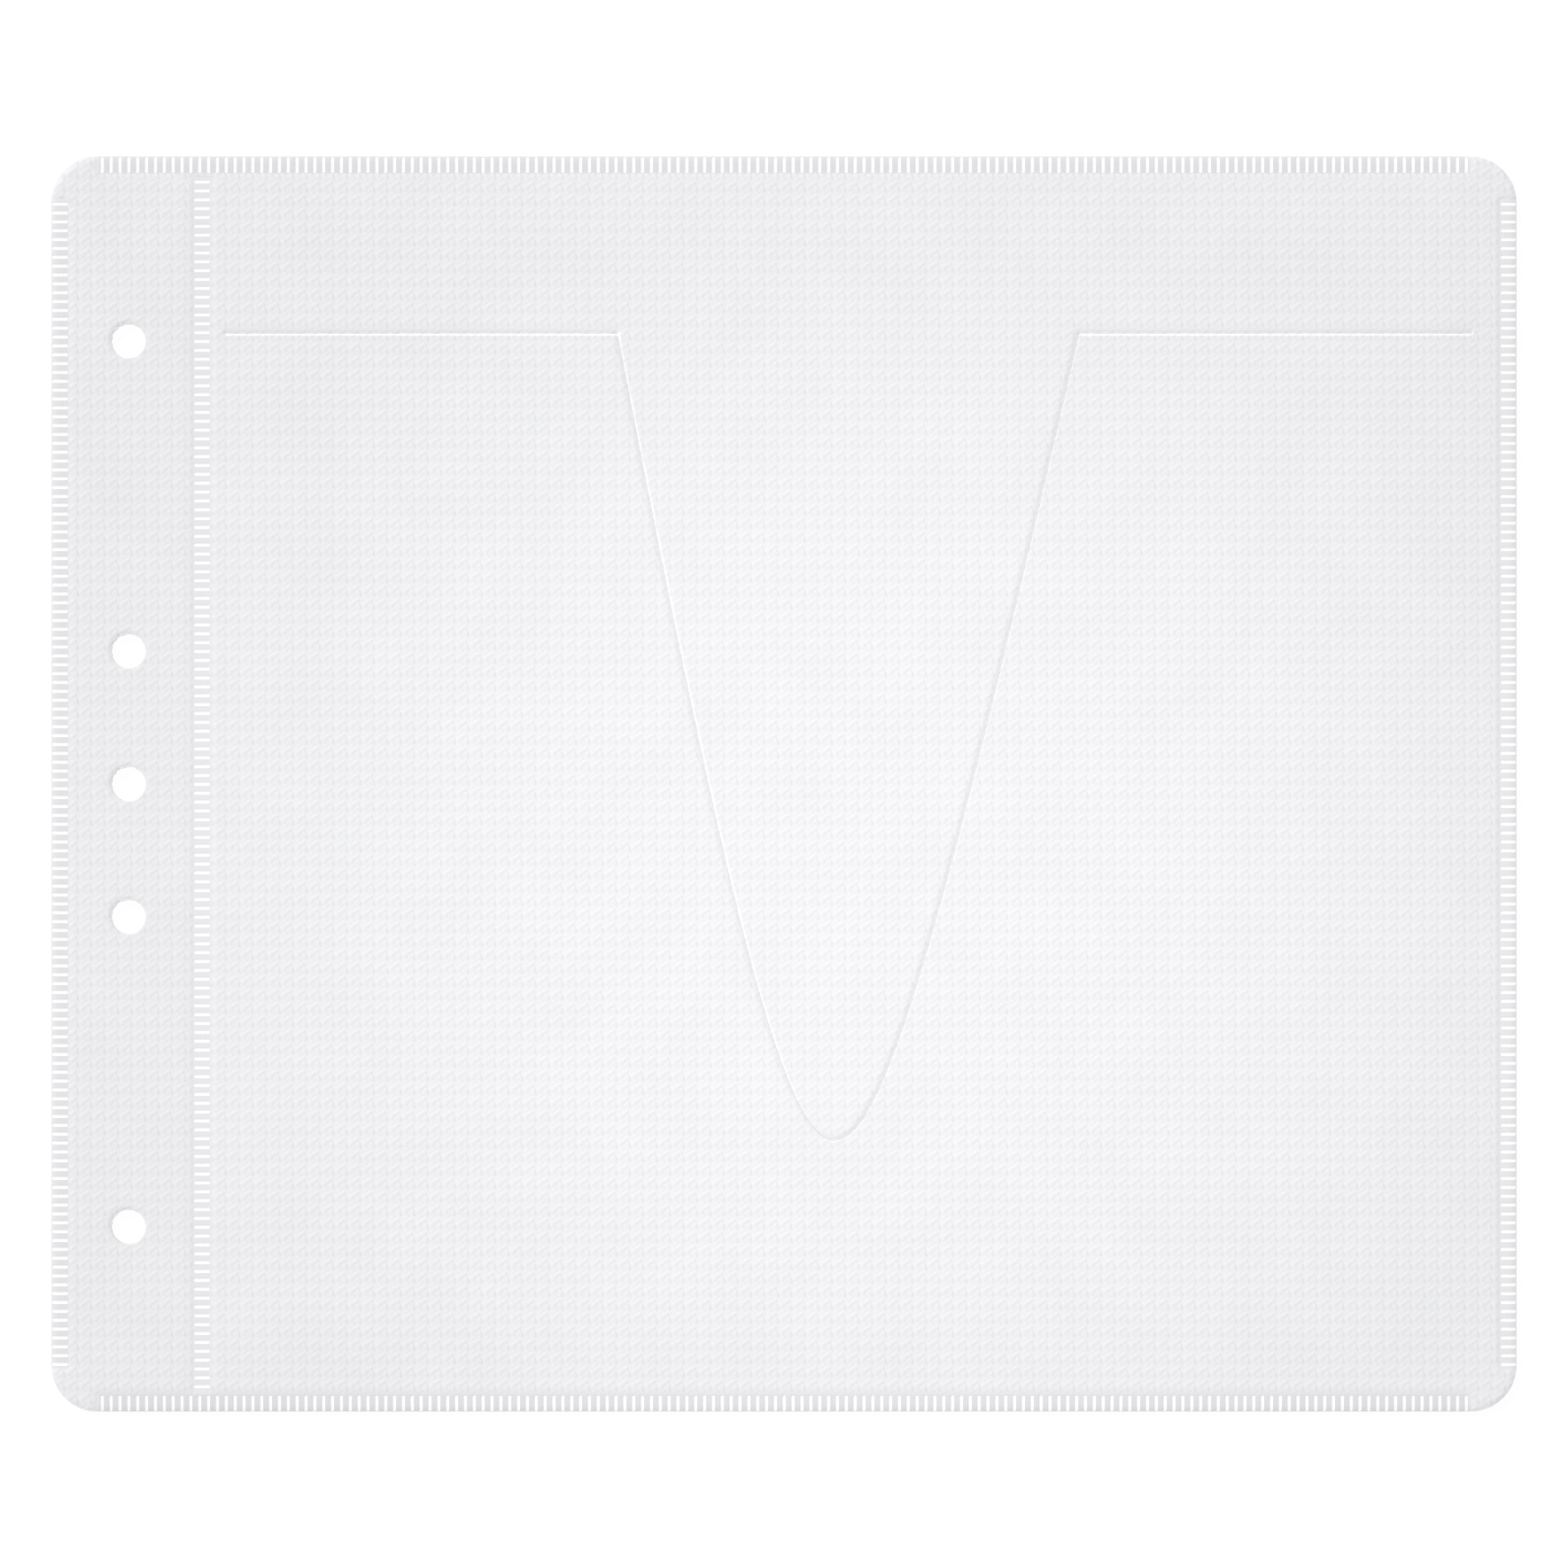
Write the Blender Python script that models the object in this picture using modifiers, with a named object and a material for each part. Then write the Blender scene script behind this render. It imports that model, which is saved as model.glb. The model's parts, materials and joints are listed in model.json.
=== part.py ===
"""Disc sleeve: a ring-binder page with a disc pocket on each face.

The page lies flat with its front face up. X runs across the page, away from the binding margin, Y runs up
the page and Z out of its front face. The origin is under the page's centre, on the surface that it lies on.
"""

import math

import bmesh
import bpy

MM = 0.001
MERGE_DISTANCE = 0.001 * MM

# Page outline
PAGE_WIDTH = 165.4 * MM
PAGE_HEIGHT = 141.7 * MM
CORNER_RADIUS = 5.2 * MM
CORNER_STEPS = 9

# Layers, from the back film to the front film
FILM = 0.15 * MM
FLEECE = 0.25 * MM
POCKET_GAP = 0.30 * MM
SEAM_LAYER_GAP = 0.05 * MM

# Seams: rows of bars pressed across a narrow strip
BAR_PITCH = 1.0 * MM
BAR_WIDTH = 0.4 * MM
BAR_DEPTH = 0.25 * MM
RIPPLE_BARS = 4
RIPPLE_HEIGHT = 0.02 * MM
SEAM_WIDTH = 1.9 * MM
SEAM_CLEARANCE = 0.2 * MM
TOP_BARS = 155
SIDE_BARS = 132
MARGIN_BARS = 137
MARGIN_TOP_BARS = 10

# Binding margin
MARGIN_SEAM_X = -65.75 * MM
FOLD_CLEARANCE = 0.35 * MM
HOLE_X = -74.0 * MM
HOLE_YS = [y * MM for y in (-50.0, -15.0, 0.0, 15.0, 50.0)]
HOLE_RADIUS = 1.95 * MM
HOLE_STEPS = 24
FLEECE_JOIN_Y = 32.5 * MM
FLEECE_JOIN_GAP = 0.2 * MM

# Slit and tongue, cut from the front and from the back film
CUT_WIDTH = 0.25 * MM
SLIT_Y = 50.85 * MM
SLIT_LEFT_X = -62.9 * MM
SLIT_RIGHT_X = 77.6 * MM
TONGUE_X = 5.7 * MM
TONGUE_LENGTH = 91.1 * MM
TONGUE_LEFT_WIDTH = 24.5 * MM
TONGUE_LEFT_TIP_RADIUS = 1.9 * MM
TONGUE_RIGHT_WIDTH = 27.65 * MM
TONGUE_RIGHT_TIP_RADIUS = 2.07 * MM
TONGUE_STEPS = 18

# The films rise from the seams to the middle of the pocket
RIM_FLAT = 3.0 * MM
RIM_WIDTH = 6.0 * MM
RIM_STEPS = 3

# Worked-out places
HALF_WIDTH = PAGE_WIDTH / 2
HALF_HEIGHT = PAGE_HEIGHT / 2
THICKNESS = 2 * FILM + 2 * POCKET_GAP + FLEECE
MIDDLE_Z = THICKNESS / 2
SEAM_THICKNESS = 2 * FILM + 2 * SEAM_LAYER_GAP + FLEECE
SEAM_FILM_OFFSET = (SEAM_THICKNESS - FILM) / 2
POCKET_FILM_OFFSET = (THICKNESS - FILM) / 2
TOP_SEAM_END = TOP_BARS * BAR_PITCH / 2
SIDE_SEAM_END = SIDE_BARS * BAR_PITCH / 2
SEAM_MIDDLE_X = HALF_WIDTH - SEAM_WIDTH / 2
SEAM_MIDDLE_Y = HALF_HEIGHT - SEAM_WIDTH / 2
SEAM_INNER_X = HALF_WIDTH - SEAM_WIDTH - SEAM_CLEARANCE
SEAM_INNER_Y = HALF_HEIGHT - SEAM_WIDTH - SEAM_CLEARANCE
POCKET_LEFT = MARGIN_SEAM_X + SEAM_WIDTH / 2 + SEAM_CLEARANCE
FOLD_X = MARGIN_SEAM_X - SEAM_WIDTH / 2 - FOLD_CLEARANCE
MARGIN_RIGHT = FOLD_X - FOLD_CLEARANCE

# Turns of a piece as quaternions: as drawn, or standing on its edge along X or along Y
AS_DRAWN = (1.0, 0.0, 0.0, 0.0)
ALONG_X = (math.sqrt(0.5), math.sqrt(0.5), 0.0, 0.0)
ALONG_Y = (0.5, 0.5, 0.5, 0.5)


def clear_scene():
    for obj in list(bpy.data.objects):
        bpy.data.objects.remove(obj, do_unlink=True)


def new_collection(name):
    collection = bpy.data.collections.new(name)
    bpy.context.scene.collection.children.link(collection)
    return collection


def new_material(name, color, roughness):
    material = bpy.data.materials.new(name)
    material.use_nodes = True
    shader = material.node_tree.nodes["Principled BSDF"]
    shader.inputs["Base Color"].default_value = (*color, 1.0)
    shader.inputs["Roughness"].default_value = roughness
    shader.inputs["Metallic"].default_value = 0.0
    return material


def flat_piece(name, outlines, thickness):
    """A plate with the given closed outlines, holes included, centred on its own XY plane."""
    curve = bpy.data.curves.new(name, "CURVE")
    curve.dimensions = "2D"
    curve.fill_mode = "BOTH"
    curve.extrude = thickness / 2
    for outline in outlines:
        spline = curve.splines.new("POLY")
        spline.points.add(len(outline) - 1)
        for point, (x, y) in zip(spline.points, outline):
            point.co = (x, y, 0.0, 1.0)
        spline.use_cyclic_u = True
    return bpy.data.objects.new(name, curve)


def as_die(plate, cutters):
    """The plate as a closed mesh that other pieces can be cut with."""
    bpy.context.scene.collection.objects.link(plate)
    bpy.context.view_layer.update()
    evaluated = plate.evaluated_get(bpy.context.evaluated_depsgraph_get())
    mesh = bpy.data.meshes.new_from_object(evaluated)
    bm = bmesh.new()
    bm.from_mesh(mesh)
    bmesh.ops.remove_doubles(bm, verts=bm.verts, dist=MERGE_DISTANCE)
    bmesh.ops.recalc_face_normals(bm, faces=bm.faces)
    bm.to_mesh(mesh)
    bm.free()
    die = bpy.data.objects.new(plate.name + "_die", mesh)
    die.matrix_world = plate.matrix_world
    die.hide_render = True
    die.display_type = "WIRE"
    bpy.data.objects.remove(plate, do_unlink=True)
    cutters.objects.link(die)
    return die


def place(obj, collection, material, location, turn=AS_DRAWN, hinge=None):
    obj.data.materials.append(material)
    obj.location = location
    obj.rotation_mode = "QUATERNION"
    obj.rotation_quaternion = turn
    if hinge is not None:
        obj.parent = hinge
        obj.location = [here - there for here, there in zip(location, hinge.location)]
    collection.objects.link(obj)


def new_hinge(name, location, collection):
    hinge = bpy.data.objects.new(name, None)
    hinge.empty_display_size = RIM_WIDTH
    hinge.location = location
    collection.objects.link(hinge)
    return hinge


def corner_tab(side_x, side_y):
    """The page's corner, from the end of the top or bottom seam to the end of the side seam."""
    step_x = TOP_SEAM_END + SEAM_CLEARANCE
    step_y = SIDE_SEAM_END + SEAM_CLEARANCE
    centre_x = HALF_WIDTH - CORNER_RADIUS
    centre_y = HALF_HEIGHT - CORNER_RADIUS
    start = math.acos((step_x - centre_x) / CORNER_RADIUS)
    end = math.asin((step_y - centre_y) / CORNER_RADIUS)
    points = [(step_x, SEAM_INNER_Y)]
    for step in range(CORNER_STEPS + 1):
        angle = start + (end - start) * step / CORNER_STEPS
        x = centre_x + CORNER_RADIUS * math.cos(angle)
        y = centre_y + CORNER_RADIUS * math.sin(angle)
        points.append((x, y))
    points.append((SEAM_INNER_X, step_y))
    return [(side_x * x, side_y * y) for x, y in points]


def pocket_outline():
    corners = corner_tab(1, -1) + corner_tab(1, 1)[::-1]
    return [(POCKET_LEFT, -SEAM_INNER_Y), *corners, (POCKET_LEFT, SEAM_INNER_Y)]


def margin_outline():
    corners = corner_tab(-1, 1) + corner_tab(-1, -1)[::-1]
    return [(MARGIN_RIGHT, SEAM_INNER_Y), *corners, (MARGIN_RIGHT, -SEAM_INNER_Y)]


def fleece_end_outline(side):
    """The margin's fleece from its top or bottom edge to the nearest join between its three lengths."""
    join_y = side * (FLEECE_JOIN_Y + FLEECE_JOIN_GAP / 2)
    corner = corner_tab(-1, side)
    return [(MARGIN_RIGHT, side * SEAM_INNER_Y), *corner, (-SEAM_INNER_X, join_y), (MARGIN_RIGHT, join_y)]


def fleece_middle_outline():
    end_y = FLEECE_JOIN_Y - FLEECE_JOIN_GAP / 2
    return [(MARGIN_RIGHT, end_y), (-SEAM_INNER_X, end_y), (-SEAM_INNER_X, -end_y), (MARGIN_RIGHT, -end_y)]


def ring_hole(centre_y):
    angles = [2 * math.pi * step / HOLE_STEPS for step in range(HOLE_STEPS)]
    return [(HOLE_X + HOLE_RADIUS * math.cos(a), centre_y + HOLE_RADIUS * math.sin(a)) for a in angles]


def tongue_side(half_width, tip_radius, clearance):
    """One side of the tongue from its tip to its shoulder, moved outwards by the clearance.

    The side is a conic: it is round at the tip and runs almost straight to the shoulder. Each point holds
    the distance from the tongue's middle line and the height above the tip.
    """
    round_part = 2 * tip_radius * TONGUE_LENGTH
    straight_part = half_width**2 - round_part
    last = math.sqrt(1 - CUT_WIDTH / (2 * TONGUE_LENGTH))
    points = []
    for step in range(TONGUE_STEPS + 1):
        t = last * step / TONGUE_STEPS
        reach = math.sqrt(round_part + straight_part * t * t)
        across = (round_part + 2 * straight_part * t * t) / reach
        along = 2 * TONGUE_LENGTH * t
        size = math.hypot(across, along)
        x = t * reach
        y = TONGUE_LENGTH * t * t
        if step < TONGUE_STEPS:
            points.append((x + clearance * along / size, y - clearance * across / size))
        else:
            points.append((x + clearance * size / along, y))
    return points


def tongue_outline(clearance):
    """The tongue from its left shoulder round the tip to its right shoulder."""
    tip_y = SLIT_Y - TONGUE_LENGTH
    left = tongue_side(TONGUE_LEFT_WIDTH, TONGUE_LEFT_TIP_RADIUS, clearance)
    right = tongue_side(TONGUE_RIGHT_WIDTH, TONGUE_RIGHT_TIP_RADIUS, clearance)
    left_points = [(TONGUE_X - x, tip_y + y) for x, y in left]
    right_points = [(TONGUE_X + x, tip_y + y) for x, y in right]
    return left_points[:0:-1] + right_points


def mouth_outline():
    """The slit and the space of the tongue, which together open the pocket."""
    low_y = SLIT_Y - CUT_WIDTH / 2
    high_y = SLIT_Y + CUT_WIDTH / 2
    tongue_space = tongue_outline(CUT_WIDTH / 2)
    slit_ends = [(SLIT_RIGHT_X, low_y), (SLIT_RIGHT_X, high_y), (SLIT_LEFT_X, high_y), (SLIT_LEFT_X, low_y)]
    return tongue_space + slit_ends


def pillow_film(name, side, die):
    """A pocket film, flat along its seams and raised over the pocket, cut to its outline by the die."""
    low_x = POCKET_LEFT - RIM_FLAT
    high_x = SEAM_INNER_X + RIM_FLAT
    bm = bmesh.new()
    bmesh.ops.create_grid(bm, x_segments=1, y_segments=1, size=0.5)
    bmesh.ops.scale(bm, vec=(high_x - low_x, 2 * (SEAM_INNER_Y + RIM_FLAT), 1.0), verts=bm.verts)
    bmesh.ops.translate(bm, vec=((low_x + high_x) / 2, 0.0, 0.0), verts=bm.verts)
    bm.faces.ensure_lookup_table()
    middle = bm.faces[0]
    bmesh.ops.inset_region(bm, faces=[middle], thickness=RIM_FLAT, use_boundary=True, use_even_offset=True)
    rise = side * (POCKET_FILM_OFFSET - SEAM_FILM_OFFSET)
    heights = [rise * (1 - math.cos(math.pi * step / RIM_STEPS)) / 2 for step in range(RIM_STEPS + 1)]
    for lower, upper in zip(heights, heights[1:]):
        bmesh.ops.inset_region(bm, faces=[middle], thickness=RIM_WIDTH / RIM_STEPS, use_even_offset=True)
        bmesh.ops.translate(bm, vec=(0.0, 0.0, upper - lower), verts=middle.verts)
    mesh = bpy.data.meshes.new(name)
    bm.to_mesh(mesh)
    bm.free()
    film = bpy.data.objects.new(name, mesh)
    shell = film.modifiers.new("film thickness", "SOLIDIFY")
    shell.thickness = FILM
    shell.offset = 0.0
    cut = film.modifiers.new("die cut", "BOOLEAN")
    cut.operation = "INTERSECT"
    cut.solver = "EXACT"
    cut.object = die
    return film


def seam_strip(name, bars):
    """A fused strip with V grooves pressed across its front face, one at each bar.

    Its back face ripples slightly, as melted film does.
    """
    top = SEAM_THICKNESS / 2
    end = bars * BAR_PITCH / 2
    profile = [(-end, top)]
    for bar in range(bars):
        x = (bar + 0.5) * BAR_PITCH - end
        profile += [(x - BAR_WIDTH / 2, top), (x, top - BAR_DEPTH), (x + BAR_WIDTH / 2, top)]
    profile.append((end, top))
    spans = 2 * math.ceil(bars / (2 * RIPPLE_BARS))
    for span in range(spans + 1):
        profile.append((end - 2 * end * span / spans, span % 2 * RIPPLE_HEIGHT - top))
    return flat_piece(name, [profile], SEAM_WIDTH)


def build_pocket(parts, cutters, film, fleece, weld):
    die = as_die(flat_piece("pocket_film", [pocket_outline(), mouth_outline()], 2 * THICKNESS), cutters)
    for name, side in (("front_film", 1), ("back_film", -1)):
        place(pillow_film(name, side, die), parts, film, (0.0, 0.0, MIDDLE_Z + side * SEAM_FILM_OFFSET))
    die.location.z = MIDDLE_Z
    divider = flat_piece("fleece_divider", [pocket_outline()], FLEECE)
    place(divider, parts, fleece, (0.0, 0.0, MIDDLE_Z))

    long_bars = TOP_BARS - MARGIN_TOP_BARS - 1
    long_x = TOP_SEAM_END - long_bars * BAR_PITCH / 2
    place(seam_strip("top_seam", long_bars), parts, weld, (long_x, SEAM_MIDDLE_Y, MIDDLE_Z), ALONG_X)
    place(seam_strip("bottom_seam", long_bars), parts, weld, (long_x, -SEAM_MIDDLE_Y, MIDDLE_Z), ALONG_X)
    place(seam_strip("side_seam", SIDE_BARS), parts, weld, (SEAM_MIDDLE_X, 0.0, MIDDLE_Z), ALONG_Y)
    place(seam_strip("margin_seam", MARGIN_BARS), parts, weld, (MARGIN_SEAM_X, 0.0, MIDDLE_Z), ALONG_Y)


def build_tongues(parts, film):
    """Each tongue hangs on the line between its shoulders, in the outer face of its film."""
    for name, side in (("front_tongue", 1), ("back_tongue", -1)):
        hinge = new_hinge(name + "_hinge", (TONGUE_X, SLIT_Y, MIDDLE_Z + side * THICKNESS / 2), parts)
        tongue = flat_piece(name, [tongue_outline(-CUT_WIDTH / 2)], FILM)
        place(tongue, parts, film, (0.0, 0.0, MIDDLE_Z + side * POCKET_FILM_OFFSET), hinge=hinge)


def build_margin(parts, film, fleece, weld):
    """The binding margin: two films with fleece between them, ring holes through all, and outer seams."""
    hinge = new_hinge("margin_fold", (FOLD_X, 0.0, MIDDLE_Z), parts)
    holes = [ring_hole(y) for y in HOLE_YS]
    for name, side in (("margin_front_film", 1), ("margin_back_film", -1)):
        sheet = flat_piece(name, [margin_outline(), *holes], FILM)
        place(sheet, parts, film, (0.0, 0.0, MIDDLE_Z + side * SEAM_FILM_OFFSET), hinge=hinge)
    lengths = (
        ("margin_fleece_bottom", fleece_end_outline(-1), holes[:1]),
        ("margin_fleece_middle", fleece_middle_outline(), holes[1:-1]),
        ("margin_fleece_top", fleece_end_outline(1), holes[-1:]),
    )
    for name, outline, own_holes in lengths:
        strip = flat_piece(name, [outline, *own_holes], FLEECE)
        place(strip, parts, fleece, (0.0, 0.0, MIDDLE_Z), hinge=hinge)

    short_x = -TOP_SEAM_END + MARGIN_TOP_BARS * BAR_PITCH / 2
    top = seam_strip("margin_top_seam", MARGIN_TOP_BARS)
    bottom = seam_strip("margin_bottom_seam", MARGIN_TOP_BARS)
    spine = seam_strip("spine_seam", SIDE_BARS)
    place(top, parts, weld, (short_x, SEAM_MIDDLE_Y, MIDDLE_Z), ALONG_X, hinge)
    place(bottom, parts, weld, (short_x, -SEAM_MIDDLE_Y, MIDDLE_Z), ALONG_X, hinge)
    place(spine, parts, weld, (-SEAM_MIDDLE_X, 0.0, MIDDLE_Z), ALONG_Y, hinge)


def main():
    clear_scene()
    parts = new_collection("disc_sleeve")
    cutters = new_collection("cutters")
    film = new_material("embossed_film", (0.85, 0.85, 0.87), 0.45)
    fleece = new_material("white_fleece", (0.90, 0.90, 0.90), 0.95)
    weld = new_material("fused_film", (0.93, 0.93, 0.94), 0.35)
    build_pocket(parts, cutters, film, fleece, weld)
    build_tongues(parts, film)
    build_margin(parts, film, fleece, weld)


main()
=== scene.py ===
import json
import math

import bpy
import numpy as np
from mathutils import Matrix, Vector
from mathutils.geometry import delaunay_2d_cdt


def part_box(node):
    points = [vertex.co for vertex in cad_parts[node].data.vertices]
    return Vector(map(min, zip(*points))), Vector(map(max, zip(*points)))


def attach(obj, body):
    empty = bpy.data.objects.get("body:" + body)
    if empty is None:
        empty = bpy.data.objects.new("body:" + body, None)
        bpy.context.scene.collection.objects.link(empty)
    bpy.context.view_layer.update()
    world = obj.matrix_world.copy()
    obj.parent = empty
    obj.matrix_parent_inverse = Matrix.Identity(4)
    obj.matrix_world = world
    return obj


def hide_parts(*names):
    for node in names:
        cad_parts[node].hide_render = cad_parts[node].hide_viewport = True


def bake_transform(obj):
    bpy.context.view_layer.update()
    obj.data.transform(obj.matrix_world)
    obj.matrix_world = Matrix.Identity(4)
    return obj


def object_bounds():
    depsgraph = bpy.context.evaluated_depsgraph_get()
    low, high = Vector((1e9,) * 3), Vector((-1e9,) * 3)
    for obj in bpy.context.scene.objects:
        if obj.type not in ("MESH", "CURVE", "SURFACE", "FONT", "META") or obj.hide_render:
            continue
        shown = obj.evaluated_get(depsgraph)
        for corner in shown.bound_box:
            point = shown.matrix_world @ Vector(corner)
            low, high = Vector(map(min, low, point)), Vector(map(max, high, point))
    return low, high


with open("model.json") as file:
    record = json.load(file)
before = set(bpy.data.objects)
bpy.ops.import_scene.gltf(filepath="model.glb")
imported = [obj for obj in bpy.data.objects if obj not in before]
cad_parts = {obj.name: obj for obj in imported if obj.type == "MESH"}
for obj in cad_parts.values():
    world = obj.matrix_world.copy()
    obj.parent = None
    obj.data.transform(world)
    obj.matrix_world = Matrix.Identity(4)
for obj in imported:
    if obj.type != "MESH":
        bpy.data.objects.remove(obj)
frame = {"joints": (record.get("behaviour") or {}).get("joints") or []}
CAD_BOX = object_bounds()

bl_info = {
    "name": "Disc Sleeve",
    "version": (1, 0, 0),
    "blender": (4, 5, 0),
    "location": "View3D > Sidebar > Disc Sleeve",
    "description": (
        "Dresses a ring-binder page for discs in film, fleece and welds, "
        "and sets it on a studio floor"
    ),
    "category": "Object",
}

MM = 0.001
TINY = 1e-6
FRONT = 1
BACK = -1
ALONG_X = 0
ALONG_Y = 1

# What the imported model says
JOINTS = {joint["name"]: joint for joint in frame["joints"]}
TONGUE_AXIS = JOINTS["front_tongue_lift"]["pos_m"]
FOLD_AXIS = JOINTS["margin_fold"]["pos_m"]
MARGIN_WELD_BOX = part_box("margin_seam")
TOP_WELD_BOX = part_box("top_seam")
SIDE_WELD_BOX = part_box("side_seam")
SHORT_WELD_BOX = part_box("margin_top_seam")

# The map and the values that the meshes hand to their materials
REST_MAP = "rest"
# Mask of the painted highlight along the cuts' lower right sides, which face the key light
PAINTED_HIGHLIGHT = "painted_highlight"
# Mask of the film pressed down beside cuts and holes, which also carries painted shade there and
# beside the welds
PRESSED_SHADE = "pressed"
BAR = "bar"
# Mask of the painted shade on a weld's land between its bars
SHADED_LAND = "land"
# Share of painted light on a weld's land: the lighter, lit copy on welds along Y
PAINTED_LIGHT_SHARE = "painted_light_share"

# Shapes: places and widths in millimetres, and shares
RING_HOLES_Y = (-50.0, -15.0, 0.0, 15.0, 50.0)
FIRST_BAR = 0.5
BAR_ROUNDING = 0.65
WELD_END_FADE = 0.15
# The film's slight waves: height, reach of a radian, swing of the crests, reach of its radian
FILM_WAVES = ((0.018, 7.9, 0.6, 13), (0.014, 9.7, -0.5, 17))
MARGIN_WAVE = 0.3
# The fleece's unevenness: radians in a millimetre, swing of the crests, its radians
FLEECE_WAVES = ((2.1, 1.7, 0.9), (1.7, 1.3, 1.1))
# How the painted highlight beside a cut starts and grows as the cut's side turns to the lower right,
# where the film faces the key light
HIGHLIGHT_START = 0.25
HIGHLIGHT_GROWTH = 2
HIGHLIGHT_FADE = 0.04

# Points of the meshes: distances in millimetres, counts, and angles
CUT_ROWS = (0.06, 0.10, 0.14, 0.22, 0.32, 0.44, 0.58, 0.75, 1.0)
EDGE_ROWS = (0.12, 0.26, 0.42, 0.6, 0.8, 1.15)
ROW_STEP = 0.8
TIP_STEP = 0.15
TIP_REACH = 8.0
FILM_CELL = 2.6
FLEECE_CELL = 1.5
BEND_ROW = 0.2
BEND_COLUMN = 1.4
BEND_INSET = 1.2
BEND_PAST = 0.5
FOLD_ROWS = 7
FOLD_INSET = 0.8
BAR_SHOULDER = 0.03
BAR_MIDDLE = (0.5, 0.8)
CURVE_SAMPLES = 4000
CORNER_STEPS = 24
HOLE_STEPS = 64
RING_DEGREES = 10
MERGED = 1e-5
SHARP_ANGLE = math.radians(60)
# How far a point may lie from its row before it is dropped
EDGE_SLACK = 0.02
CUT_SLACK = 0.015
BEND_SLACK = 0.05
# How far points of one kind keep from another
LATTICE_CLEAR = 1.3
OUTLINE_CLEAR = 0.25
CUT_CLEAR = 0.15
BEND_CLEAR = 0.1
BEND_BELOW = 0.6
FLEECE_CLEAR = 0.7
FILM_FOLD_CLEAR = 0.3
FLEECE_FOLD_CLEAR = 0.4

# The emboss, as dots in each cell of its lattice: share of the full height, place in the cell,
# radii in millimetres, slant
EMBOSSED_DOTS = (
    (1.00, (0.348, 0.302), (0.26, 0.50), 0.41),
    (0.86, (0.771, 0.375), (0.33, 0.50), 0.30),
    (0.78, (0.095, 0.681), (0.50, 0.43), -0.50),
    (0.37, (0.909, 0.004), (0.35, 0.50), -0.50),
)
DOT_ROUNDNESS = 1.5

# Detail of the materials: noise in cells to the millimetre, and how much it changes
NOISE_DETAIL = 3.0
CLOUD_SCALE = 0.12
CLOUD_TONE = 1.4
FILM_GRAIN_SCALE = 9.0
FILM_GRAIN_TONE = 0.25
FILM_GRAIN_ROUGHNESS = 0.12
FILM_GRAIN_HEIGHT = 0.12
FILM_TONES = (0.985, 1.015)
# How much smoother the film is under the painted highlight
HIGHLIGHT_SMOOTHNESS = 0.1
WELD_GRAIN_SCALE = 6.0
WELD_GRAIN_TONE = 0.5
WELD_FILM_SHARE = 0.25
WELD_GRAIN_DEPTH = 0.006 * MM
BAR_EDGE = (0.2, 0.6)
# The fleece's fibres: turn and shift of each layer's noise, its cells along X, Y and Z
FIBRE_LAYERS = ((0.3, 0.0), (1.35, 17.0), (2.4, 31.0))
FIBRE_CELLS = (0.35, 6.0, 1.0)
FIBRE_EDGE = (0.4, 0.6)
FIBRE_TONES = (0.93, 1.06)
FIBRE_ROUGHNESS = (0.9, 0.1)
FIBRE_DEPTH = 0.05 * MM
BOND_DEPTH = 0.25

# The stage: places in metres, angles, and plain whites
WHITE = (1.0, 1.0, 1.0, 1.0)
FLOOR_REACH = 2.0
FLOOR_Z = -0.3 * MM
FLOOR_COLOUR = (0.9, 0.9, 0.9, 1.0)
FLOOR_GLOW = 1.03
FLOOR_GLOW_SHARE = 0.9
KEY_FROM = (-0.6, 0.6, 0.72)
KEY_ANGLE = math.radians(24)
FILL_FROM = (0.3, -0.5, -0.8)
FILL_ANGLE = math.radians(60)
GLOW_FROM = (0.007, -0.0095, 0.6)
GLOW_ANGLE = math.radians(17)
GLOW_RADIUS = 0.03
SENSOR_WIDTH = 36


def length(name, description, default):
    return bpy.props.FloatProperty(
        name=name, description=description, default=default, unit="LENGTH", precision=5
    )


def share(name, description, default):
    return bpy.props.FloatProperty(
        name=name, description=description, default=default, subtype="FACTOR", min=0, max=1
    )


def level(name, description, default):
    return bpy.props.FloatProperty(name=name, description=description, default=default, min=0)


def tint(name, description, default):
    return bpy.props.FloatVectorProperty(
        name=name, description=description, default=default, subtype="COLOR", size=3, min=0, max=1
    )


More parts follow.
